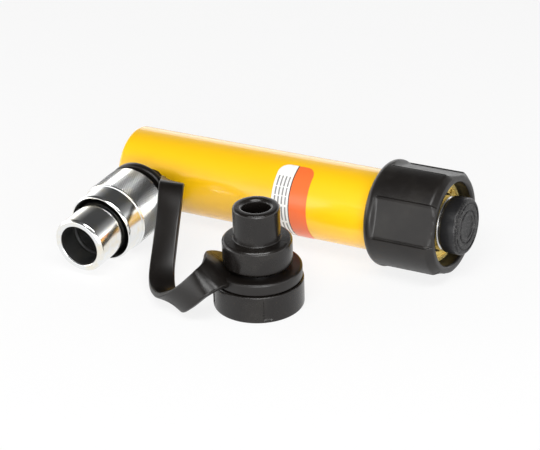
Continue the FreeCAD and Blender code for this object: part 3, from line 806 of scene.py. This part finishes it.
# %% Coupler body
BODY_START = 6.0
BODY_BORE = 3.0
STEM_RADIUS = 8.35
HEXAGON_START = 19.6
HEXAGON_HEIGHT = 6.0
HEXAGON_FLATS = 22.0
HEXAGON_CORNERS = 12.7
HEXAGON_BEVEL = (0.6, 11.6)
HEXAGON_INSIDE = 9.2
NECK_RADIUS = 9.6
SHOULDER = (30.2, 31.8)
SHOULDER_RADIUS = 15.0
RING_GROOVE = (43.4, 44.7)
RING_GROOVE_RADIUS = 12.7
NOSE_END = 80.0
NOSE_RADIUS = 13.3
SOCKET_RADIUS = 9.8
SEAL_GROOVE = (66.8, 69.2)
SEAL_GROOVE_RADIUS = 11.2
SEAT_POCKET = (52.0, 57.0)
SEAT_POCKET_RADIUS = 8.8
CHAMBER_START = 34.0
CHAMBER_RADIUS = 8.0
BODY_OUTLINE = (
    (BODY_START, BODY_BORE, 0), (BODY_START, STEM_RADIUS, 0.4), (HEXAGON_START, STEM_RADIUS, 0),
    (HEXAGON_START, NECK_RADIUS, 0), (SHOULDER[0], NECK_RADIUS, 0.2),
    (SHOULDER[0], SHOULDER_RADIUS, 0.3), (SHOULDER[1], SHOULDER_RADIUS, 0.3),
    (SHOULDER[1], NOSE_RADIUS, 0.1), (RING_GROOVE[0], NOSE_RADIUS, 0),
    (RING_GROOVE[0], RING_GROOVE_RADIUS, 0), (RING_GROOVE[1], RING_GROOVE_RADIUS, 0),
    (RING_GROOVE[1], NOSE_RADIUS, 0), (NOSE_END - 1.1, NOSE_RADIUS, 0.35),
    (NOSE_END, NOSE_RADIUS - 1.0, 0.3), (NOSE_END, SOCKET_RADIUS + 0.45, 0.25),
    (NOSE_END - 0.5, SOCKET_RADIUS, 0.2), (SEAL_GROOVE[1], SOCKET_RADIUS, 0.1),
    (SEAL_GROOVE[1], SEAL_GROOVE_RADIUS, 0.1), (SEAL_GROOVE[0], SEAL_GROOVE_RADIUS, 0.1),
    (SEAL_GROOVE[0], SOCKET_RADIUS, 0.1), (SEAT_POCKET[1], SOCKET_RADIUS, 0.1),
    (SEAT_POCKET[1], SEAT_POCKET_RADIUS, 0), (SEAT_POCKET[0], SEAT_POCKET_RADIUS, 0),
    (SEAT_POCKET[0], CHAMBER_RADIUS, 0), (CHAMBER_START, CHAMBER_RADIUS, 0.3),
    (CHAMBER_START, BODY_BORE, 0))


def hexagon_wall(along, radius, angle):
    """Radius of a six sided wall."""
    turn = nearest_turn(angle, math.pi / 6, 6)
    return min(radius, HEXAGON_FLATS / 2 / math.cos(turn))


def joined(name, pieces):
    """One object from several, in the order given."""
    mesh = bmesh.new()
    for piece in pieces:
        mesh.from_mesh(piece.data)
        bpy.data.objects.remove(piece)
    return finished_object(name, mesh)


def make_coupler_body():
    """Turned body and its hexagon."""
    turned_body = lathe("coupler_turning", BODY_OUTLINE, coupler_place)
    end = HEXAGON_START + HEXAGON_HEIGHT
    bevel, edge = HEXAGON_BEVEL
    outline = [(HEXAGON_START, HEXAGON_INSIDE, 0), (HEXAGON_START, edge, 0.2),
               (HEXAGON_START + bevel, HEXAGON_CORNERS, 0.1), (end - bevel, HEXAGON_CORNERS, 0.1),
               (end, edge, 0.2), (end, HEXAGON_INSIDE, 0)]
    hexagon = lathe("coupler_hexagon", outline, coupler_place, hexagon_wall)
    return joined("coupler_body_turning", [turned_body, hexagon])


settle(make_coupler_body(), body_zinc, "cylinder", "coupler_body")

# %% [markdown]
# The sleeve carries a diamond knurl: hundreds of small pyramids pressed into the steel,
# each row half a step round from the last. This is work for Geometry Nodes. Points are
# numbered, the number gives each point its row and its angle, and one pyramid is set on
# every point. The sizes are inputs of the tree, so the knurl can be changed from outside.

# %% Diamond knurl as a Geometry Nodes tree
KNURL_AROUND = 78
KNURL_ROWS = 27
KNURL_START = 33.6
KNURL_END = 49.9
KNURL_ROOT = 16.92
KNURL_HEIGHT = 0.5
KNURL_TIP = 0.004


class Garden(Wiring):
    """A Geometry Nodes tree with named inputs and the same kind of sums as a Finish."""

    def __init__(self, name):
        super().__init__(bpy.data.node_groups.new(name, "GeometryNodeTree"))
        self.tree.interface.new_socket("Geometry", in_out="OUTPUT",
                                       socket_type="NodeSocketGeometry")
        self.identifiers = {}

    def add_input(self, name, kind, value):
        """A named input of the tree, with its usual value."""
        socket = self.tree.interface.new_socket(name, in_out="INPUT", socket_type=kind)
        if value is not None:
            socket.default_value = value
        self.identifiers[name] = socket.identifier

    def input_value(self, name):
        """The tree's input as an Amount."""
        group = next((n for n in self.tree.nodes if n.type == "GROUP_INPUT"), None)
        group = group or self.tree.nodes.new("NodeGroupInput")
        return Amount(self, group.outputs[name])

    def deliver(self, geometry):
        """Realize, paint and hand out the geometry."""
        real = self.node("GeometryNodeRealizeInstances", None, {0: geometry})
        paint = {0: real, "Material": self.input_value("Material")}
        self.hand_out("NodeGroupOutput", self.node("GeometryNodeSetMaterial", None, paint))


def make_knurl_tree():
    """Pyramids in offset rows round local X."""
    garden = Garden("knurl_rows")
    garden.add_input("Around", "NodeSocketInt", KNURL_AROUND)
    garden.add_input("Rows", "NodeSocketInt", KNURL_ROWS)
    garden.add_input("Start", "NodeSocketFloat", KNURL_START * MM)
    garden.add_input("Length", "NodeSocketFloat", (KNURL_END - KNURL_START) * MM)
    garden.add_input("Root Radius", "NodeSocketFloat", KNURL_ROOT * MM)
    garden.add_input("Height", "NodeSocketFloat", KNURL_HEIGHT * MM)
    garden.add_input("Material", "NodeSocketMaterial", None)
    around = garden.input_value("Around")
    rows = garden.input_value("Rows")
    length = garden.input_value("Length")
    root = garden.input_value("Root Radius")
    height = garden.input_value("Height")
    number = garden.node("GeometryNodeInputIndex")
    row = number.sum("FLOOR", number / around)
    half_step = (row % 2.0) * 0.5
    angle = (number % around + half_step) * (2 * math.pi) / around
    along = garden.input_value("Start") + row * length / (rows - 1.0)
    across = angle.sum("COSINE", angle)
    upward = angle.sum("SINE", angle)
    outward = garden.node("ShaderNodeCombineXYZ", None, {"Y": across, "Z": upward})
    spot = garden.node("ShaderNodeCombineXYZ", None,
                       {"X": along, "Y": across * root, "Z": upward * root})
    points = garden.node("GeometryNodePoints", None, {"Count": around * rows, "Position": spot})
    facing = garden.node("FunctionNodeAlignRotationToVector", {"axis": "Z"}, {"Vector": outward})
    squared = garden.node("FunctionNodeAlignRotationToVector", {"axis": "X", "pivot_axis": "Z"},
                          {"Rotation": facing, "Vector": (1.0, 0.0, 0.0)})
    pyramid = garden.node("GeometryNodeMeshCone", {"fill_type": "NONE"},
                          {"Vertices": 4, "Radius Top": root * KNURL_TIP, "Radius Bottom": 1.0 * MM,
                           "Depth": height})
    lengthwise = length / (rows - 1.0) / MM
    sideways = root * (math.pi / MM) / around
    stretched = garden.node("ShaderNodeCombineXYZ", None,
                            {"X": lengthwise, "Y": sideways, "Z": 1.0})
    knurl = garden.node("GeometryNodeInstanceOnPoints", None,
                        {"Points": points, "Instance": pyramid, "Rotation": squared, "Scale": stretched})
    garden.deliver(knurl)
    return garden


def grow(name, garden, material, place):
    """Run a tree on an empty mesh, and return the result as an object at its place."""
    holder = bpy.data.objects.new(name, bpy.data.meshes.new(name))
    bpy.context.scene.collection.objects.link(holder)
    modifier = holder.modifiers.new(name, "NODES")
    modifier.node_group = garden.tree
    modifier[garden.identifiers["Material"]] = material
    evaluated = holder.evaluated_get(bpy.context.evaluated_depsgraph_get())
    data = bpy.data.meshes.new_from_object(evaluated)
    holder.modifiers.clear()
    holder.data = data
    data.transform(place)
    return holder


knurl = grow("knurl_pyramids", make_knurl_tree(), sleeve_zinc.material, coupler_place)
print("knurl:", len(knurl.data.polygons), "faces")

# %% [markdown]
# The sleeve itself is turned: a knurled grip, a thin ridge, a smooth band and a bevelled
# rim. Inside its mouth a real thread is cut. The lathe draws it as close rings, which
# look the same in that dark gap.

# %% Coupler sleeve
SLEEVE_START = 32.1
SLEEVE_END = 62.0
SLEEVE_BORE = 13.35
THREAD_ROOT = 15.4
THREAD_CREST = 14.75
THREAD_STEP = 1.5
THREAD_LAST = 46.5
SLEEVE_RECESS = (43.1, 44.0)
REAR_RADIUS = 16.3
RIDGE_END = 51.3
RIDGE_RADIUS = 17.15
BAND_START = 51.5
BAND_RADIUS = 16.6
RIM_RADIUS = 15.95


def sleeve_outline():
    """Outline of the sleeve, with its thread as a row of ridges."""
    outline = [(SLEEVE_START, SLEEVE_BORE, 0.1), (SLEEVE_START, REAR_RADIUS, 0.5),
               (KNURL_START - 0.5, KNURL_ROOT, 0.1), (KNURL_END + 0.45, KNURL_ROOT, 0.05),
               (KNURL_END + 0.5, RIDGE_RADIUS, 0.15), (RIDGE_END, RIDGE_RADIUS, 0.2),
               (BAND_START, BAND_RADIUS, 0.05), (SLEEVE_END - 0.9, BAND_RADIUS, 0.35),
               (SLEEVE_END, RIM_RADIUS, 0.25), (SLEEVE_END, THREAD_ROOT + 0.1, 0.2)]
    place = SLEEVE_END - 1.2
    while place > THREAD_LAST:
        outline += [(place, THREAD_ROOT, 0), (place - THREAD_STEP * 0.4, THREAD_CREST, 0.15),
                    (place - THREAD_STEP * 0.6, THREAD_CREST, 0.15)]
        place -= THREAD_STEP
    outline += [(SLEEVE_RECESS[1], THREAD_ROOT, 0), (SLEEVE_RECESS[0], THREAD_ROOT, 0),
                (SLEEVE_RECESS[0], SLEEVE_BORE, 0.1)]
    return outline


def make_sleeve():
    """Turned sleeve with its knurl."""
    sleeve = lathe("sleeve_turning", sleeve_outline(), coupler_place)
    return joined("coupler_sleeve_turning", [sleeve, knurl])


settle(make_sleeve(), sleeve_zinc, "coupler_sleeve", "coupler_sleeve")

# %% [markdown]
# The dust cap is a stack of turned steps: a knob, the strap's ring, a boss and the plug
# that fills the coupler's socket. The knob's wall has four raised pads for the fingers,
# made as the protector's flats are, by changing the radius with the angle.

# %% Dust cap
CAP_RADIUS = 20.6
CAP_SLICES = 288
CAP_PADS = 4
CAP_PAD_DEPTH = 0.5
CAP_PAD_START = math.radians(-93.0)
CAP_PAD_HALF = math.radians(39.0)
CAP_PAD_EDGE = math.radians(1.5)
CAP_PAD_MARGIN = 1.6
CAP_PAD_RAMP = 0.2
HOLLOW_TOP = 8.0
HOLLOW_RADIUS = 16.5
KNOB_TOP = 13.0
CAP_NECK = 12.2
BOSS_START = 21.2
BOSS_TOP = 32.6
BOSS_RADIUS = 15.8
PLUG_TOP = 48.2
PLUG_RADIUS = 10.6
PLUG_HOLE = 6.2
PLUG_HOLE_END = PLUG_TOP - 17.0
PAD_TOP = KNOB_TOP - CAP_PAD_MARGIN


def knob_wall(along, radius, angle):
    """Radius of the knob's wall between its finger pads."""
    if radius < CAP_RADIUS - 0.05 or along > KNOB_TOP:
        return radius
    turn = nearest_turn(angle, CAP_PAD_START, CAP_PADS)
    between = smooth_step(CAP_PAD_HALF, CAP_PAD_HALF + CAP_PAD_EDGE, abs(turn))
    height = smooth_step(CAP_PAD_MARGIN - CAP_PAD_RAMP, CAP_PAD_MARGIN + CAP_PAD_RAMP, along)
    height *= 1 - smooth_step(PAD_TOP - CAP_PAD_RAMP, PAD_TOP + CAP_PAD_RAMP, along)
    return radius - CAP_PAD_DEPTH * between * height


def cap_outline():
    """Outline of the cap from the hollow of its knob to the hole in its plug."""
    outline = [(HOLLOW_TOP, 0.0, 0), (HOLLOW_TOP, HOLLOW_RADIUS, 0.6), (0.0, HOLLOW_RADIUS, 0.3),
               (0.0, CAP_RADIUS, 1.6)]
    for height in (CAP_PAD_MARGIN + CAP_PAD_RAMP, PAD_TOP - CAP_PAD_RAMP):
        for step in range(-2, 3):
            outline.append((height + step * CAP_PAD_RAMP / 2, CAP_RADIUS, 0))
    outline += [(KNOB_TOP, CAP_RADIUS, 1.2), (KNOB_TOP, CAP_NECK, 0.2), (BOSS_START, CAP_NECK, 0.2),
                (BOSS_START, BOSS_RADIUS, 0.4), (BOSS_TOP - 1.0, BOSS_RADIUS, 0.4),
                (BOSS_TOP, BOSS_RADIUS - 0.9, 0.4), (BOSS_TOP, PLUG_RADIUS, 0.5),
                (PLUG_TOP, PLUG_RADIUS, 1.8), (PLUG_TOP, PLUG_HOLE + 1.1, 0.6),
                (PLUG_TOP - 1.1, PLUG_HOLE, 0.5), (PLUG_HOLE_END, PLUG_HOLE, 0.8),
                (PLUG_HOLE_END, 0.0, 0)]
    return outline


settle(lathe("dust_cap_moulding", cap_outline(), cap_place, knob_wall, CAP_SLICES),
       cap_black, "dust_cap", "dust_cap")

# %% [markdown]
# The strap is moulded flat and then bent by hand: it leaves the ring round the coupler's
# neck, folds over, drops to the floor in front of the body, turns up and widens into the
# ring round the cap. Its middle line and the direction across it are chosen at a few
# points, and a smooth curve runs between them.

# %% Strap
# Each row is a point of the middle line, the direction across it and the width there.
STRAP_ROUTE = (
    ((30.5, -28.3, 24.2), (0.46, 0.00, -0.89), 11.8),
    ((35.6, -28.8, 27.2), (0.50, 0.05, -0.86), 11.8),
    ((40.8, -32.6, 31.6), (0.74, 0.42, -0.50), 11.8),
    ((45.6, -40.4, 34.6), (0.90, 0.44, -0.05), 11.8),
    ((50.0, -50.0, 26.6), (0.94, 0.25, 0.16), 11.8),
    ((53.9, -60.4, 15.4), (0.95, 0.24, 0.16), 11.8),
    ((57.6, -69.4, 7.2), (0.92, 0.36, 0.06), 11.8),
    ((63.0, -77.4, 3.9), (0.74, 0.62, -0.20), 11.8),
    ((70.6, -84.3, 4.2), (0.61, 0.66, -0.42), 11.8),
    ((78.3, -89.4, 7.0), (0.56, 0.16, -0.80), 11.8),
    ((85.2, -91.4, 12.6), (0.62, -0.20, -0.76), 12.0),
    ((91.3, -90.2, 18.8), (0.63, -0.42, -0.65), 12.7),
    ((93.5, -86.4, 20.7), (0.63, -0.53, -0.57), 13.6),
    ((94.3, -82.6, 21.1), (0.66, -0.58, -0.48), 15.1),
    ((94.1, -77.6, 20.4), (0.72, -0.60, -0.35), 18.9),
    ((93.4, -69.8, 18.6), (0.75, -0.64, -0.12), 24.2),
    ((94.6, -66.0, 17.2), (0.75, -0.64, -0.05), 22.0),
)
STRAP_THICKNESS = 2.8
STRAP_EDGE = 0.8
STEPS_BETWEEN = 8
LOOK_AROUND = 0.02
BAND_CORNERS = ((1, 1, 0), (-1, 1, 90), (-1, -1, 180), (1, -1, 270))
NECK_RING = (26.1, 29.8, 9.9, 17.2)
CAP_RING = (13.15, 19.05, 12.5, 20.0)
CAP_RING_HOLE = (5.0, 30.0)


def flowing(values, share):
    """Point of a smooth curve through a row of vectors or numbers."""
    last = len(values) - 1
    index = min(int(share), last - 1)
    part = share - index
    before = values[max(index - 1, 0)]
    start, end = values[index], values[index + 1]
    after = values[min(index + 2, last)]
    bend = (end - before) * 0.5
    leave = (after - start) * 0.5
    return (start * (2 * part ** 3 - 3 * part ** 2 + 1) + bend * (part ** 3 - 2 * part ** 2 + part)
            + end * (3 * part ** 2 - 2 * part ** 3) + leave * (part ** 3 - part ** 2))


def band_outline(width):
    """Cross section of the band: a flat strip with rounded edges, as (across, through)."""
    half, thick = width / 2, STRAP_THICKNESS / 2
    points = []
    for corner_across, corner_through, start in BAND_CORNERS:
        for step in range(4):
            angle = math.radians(start + 30 * step)
            points.append(((half - STRAP_EDGE) * corner_across + STRAP_EDGE * math.cos(angle),
                           (thick - STRAP_EDGE) * corner_through + STRAP_EDGE * math.sin(angle)))
    return points


def make_band():
    """Band swept along the strap's route."""
    middles = [Vector(middle) for middle, across, width in STRAP_ROUTE]
    acrosses = [Vector(across) for middle, across, width in STRAP_ROUTE]
    widths = [width for middle, across, width in STRAP_ROUTE]
    mesh = bmesh.new()
    rings = []
    count = (len(STRAP_ROUTE) - 1) * STEPS_BETWEEN
    for step in range(count + 1):
        share = step / STEPS_BETWEEN
        middle = flowing(middles, share)
        ahead = flowing(middles, min(share + LOOK_AROUND, len(middles) - 1.0))
        behind = flowing(middles, max(share - LOOK_AROUND, 0.0))
        along = (ahead - behind).normalized()
        through = along.cross(flowing(acrosses, share)).normalized()
        side = through.cross(along).normalized()
        rings.append([mesh.verts.new((middle + side * across + through * depth) * MM)
                      for across, depth in band_outline(flowing(widths, share))])
    for ring, following in zip(rings, rings[1:]):
        for index in range(len(ring)):
            step = (index + 1) % len(ring)
            mesh.faces.new((ring[index], ring[step], following[step], following[index]))
    mesh.faces.new(rings[0])
    mesh.faces.new(list(reversed(rings[-1])))
    bmesh.ops.recalc_face_normals(mesh, faces=mesh.faces)
    return finished_object("strap_band", mesh)


def ring_piece(name, sizes, place):
    """Flat ring of the strap: start, end, inner and outer radius."""
    start, end, inner, outer = sizes
    outline = [(start, inner, 0.5), (start, outer, 1.2), (end, outer, 1.2), (end, inner, 0.5)]
    return lathe(name, outline, place)


def fuse(piece, other, operation):
    """Join or cut one closed mesh with another, and drop the other."""
    modifier = piece.modifiers.new("fuse", "BOOLEAN")
    modifier.operation = operation
    modifier.solver = "EXACT"
    modifier.use_self = True
    modifier.object = other
    evaluated = piece.evaluated_get(bpy.context.evaluated_depsgraph_get())
    data = bpy.data.meshes.new_from_object(evaluated)
    piece.modifiers.clear()
    piece.data = data
    bpy.data.objects.remove(other)
    data.shade_smooth()
    data.set_sharp_from_angle(angle=SHARP_ANGLE)


def make_strap():
    """Band and both rings as one moulding, with the hole for the cap's neck kept open."""
    strap = make_band()
    fuse(strap, ring_piece("neck_ring", NECK_RING, coupler_place), "UNION")
    fuse(strap, ring_piece("cap_ring", CAP_RING, cap_place), "UNION")
    start, end = CAP_RING_HOLE
    radius = CAP_RING[2]
    hole = lathe("cap_hole", [(start, 0.0, 0), (start, radius, 0), (end, radius, 0), (end, 0.0, 0)],
                 cap_place)
    fuse(strap, hole, "DIFFERENCE")
    return strap


settle(make_strap(), strap_black, "cap_strap", "cap_strap")

# %% [markdown]
# The floor is a pale sheet. To the camera and in mirrors it is nearly white, and it still
# darkens under the object, because part of it stays an ordinary matt surface. The world
# is white only to the camera. To the object it is bright from the sides and dark from
# above, so the lamps draw the highlights.

# %% Floor and world
FLOOR_SIZE = 6.0
FLOOR_GLOW = 0.82
FLOOR_WHITE = (0.9, 0.9, 0.9)
# Each pair is a height of the view, from 0 at the horizon to 1 overhead, and a brightness.
SKY = ((0.0, 2.3), (0.25, 1.8), (0.45, 0.32), (0.70, 0.06))


def seen_by(wiring, *rays):
    """1 for the kinds of rays that are named, 0 for all others."""
    total = wiring.node("ShaderNodeLightPath", output=rays[0])
    others = [total.part(ray) for ray in rays[1:]]
    for other in others:
        total = (total + other).held()
    return total


def make_floor():
    """Pale floor, at the height of the object's feet."""
    mesh = bmesh.new()
    bmesh.ops.create_grid(mesh, x_segments=1, y_segments=1, size=FLOOR_SIZE / 2)
    floor = finished_object("floor", mesh)
    material = bpy.data.materials.new("pale_floor")
    material.use_nodes = True
    wiring = Wiring(material.node_tree)
    wiring.tree.nodes.clear()
    matt = wiring.node("ShaderNodeBsdfDiffuse", None, {"Color": FLOOR_WHITE})
    glow = wiring.node("ShaderNodeEmission")
    share = seen_by(wiring, "Is Camera Ray", "Is Glossy Ray") * FLOOR_GLOW
    mixed = wiring.node("ShaderNodeMixShader", None, {0: share, 1: matt, 2: glow})
    wiring.hand_out("ShaderNodeOutputMaterial", mixed)
    floor.data.materials.append(material)


def make_world():
    """Bright light from the sides and little from above, and white where the camera looks."""
    world = bpy.data.worlds.new("studio")
    bpy.context.scene.world = world
    world.use_nodes = True
    wiring = Wiring(world.node_tree)
    wiring.tree.nodes.clear()
    direction = wiring.node("ShaderNodeTexCoord", output="Generated")
    height = wiring.node("ShaderNodeSeparateXYZ", None, {0: direction}, "Z")
    sky = wiring.node("ShaderNodeValToRGB", None, {0: height})
    stops = sky.socket.node.color_ramp.elements
    for index, (position, brightness) in enumerate(SKY):
        stop = stops[index] if index < 2 else stops.new(position)
        stop.position = position
        stop.color = (brightness, brightness, brightness, 1)
    light = wiring.node("ShaderNodeBackground", None, {"Color": sky})
    seen = wiring.node("ShaderNodeBackground")
    share = seen_by(wiring, "Is Camera Ray")
    mixed = wiring.node("ShaderNodeMixShader", None, {0: share, 1: light, 2: seen})
    wiring.hand_out("ShaderNodeOutputWorld", mixed)


make_floor()
make_world()

# %% [markdown]
# Three large soft lamps light the object: one high in front, which draws the long
# highlight on the body, one low on the left for the coupler, and a low one in front that
# fills the shaded side.

# %% Lamps
# Each row is a name, a place in metres, a width and a height, and a power in watts.
LAMPS = (
    ("key", (0.30, -0.37, 0.72), (0.75, 0.20), 4.5),
    ("left", (-0.65, -0.35, 0.25), (0.30, 0.40), 1.2),
    ("front", (0.75, -0.85, 0.25), (0.80, 0.35), 6.0),
)
LAMP_TARGET = Vector((0.09, -0.03, 0.02))


def make_lamp(name, place, size, power):
    """Rectangular lamp that faces the object."""
    data = bpy.data.lights.new(name, "AREA")
    data.shape = "RECTANGLE"
    data.size, data.size_y = size
    data.energy = power
    lamp = bpy.data.objects.new(name, data)
    lamp.location = Vector(place)
    lamp.rotation_euler = (LAMP_TARGET - lamp.location).to_track_quat("-Z", "Y").to_euler()
    bpy.context.scene.collection.objects.link(lamp)


for lamp in LAMPS:
    make_lamp(*lamp)

# %% [markdown]
# The picture keeps its colours as the finishes give them.

# %% Finish
bpy.context.scene.view_settings.view_transform = "Standard"
